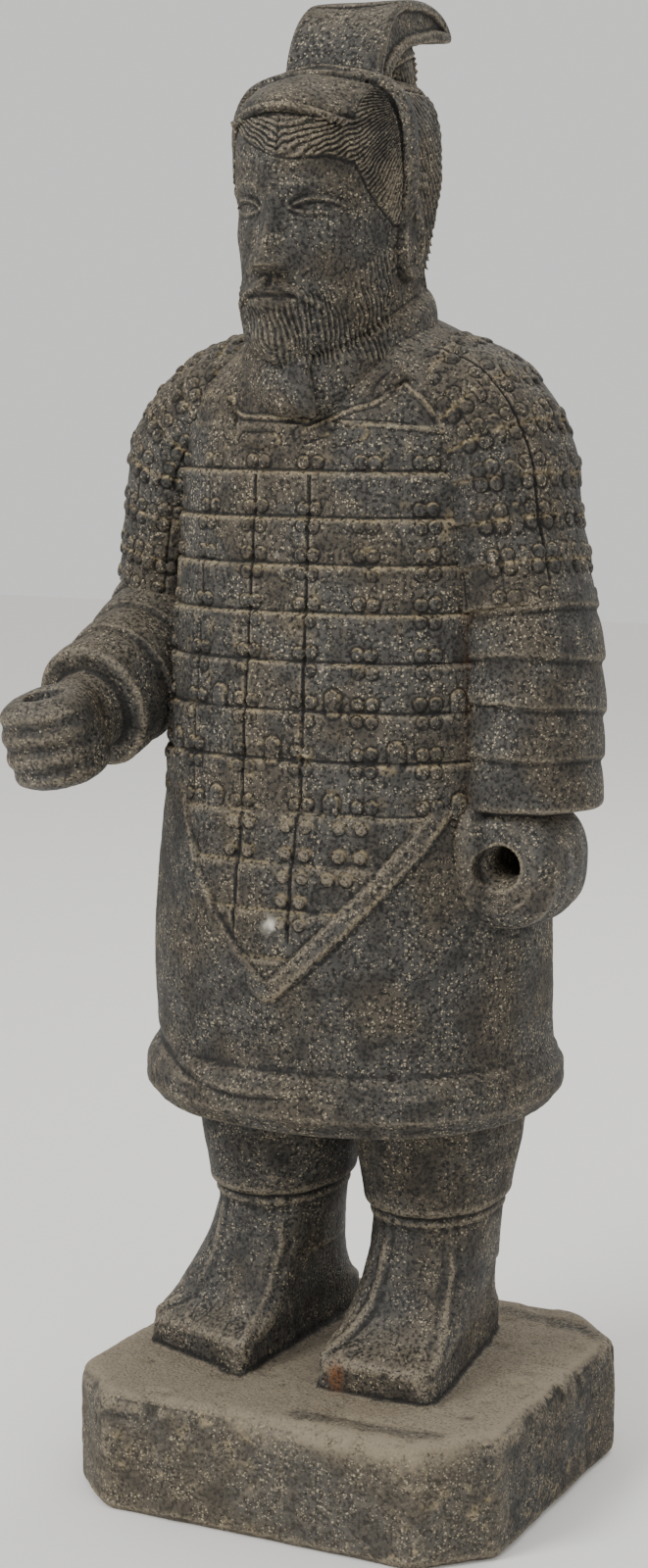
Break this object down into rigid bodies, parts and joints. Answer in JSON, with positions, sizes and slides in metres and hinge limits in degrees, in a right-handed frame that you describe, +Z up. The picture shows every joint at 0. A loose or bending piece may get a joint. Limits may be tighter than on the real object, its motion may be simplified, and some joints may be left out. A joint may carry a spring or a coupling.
{
  "type": "warrior statue",
  "caption": "standing armoured officer of dark carved stone on a block plinth with cut corners, fists bored for a staff and a weapon",
  "frame": {"origin": "middle of the plinth's flat underside, on the floor", "axes": "+Z is up, the warrior looks along -Y, and +X is the warrior's own left side"},
  "size_m": [0.3673, 0.3299, 1],
  "materials": {
    "volcanic_stone": "matt, porous dark grey-brown volcanic stone with fine pale flecks, dusty on upward faces"
  },
  "bodies": {
    "root": {"warrior_statue": "volcanic_stone"}
  },
  "joints": []
}
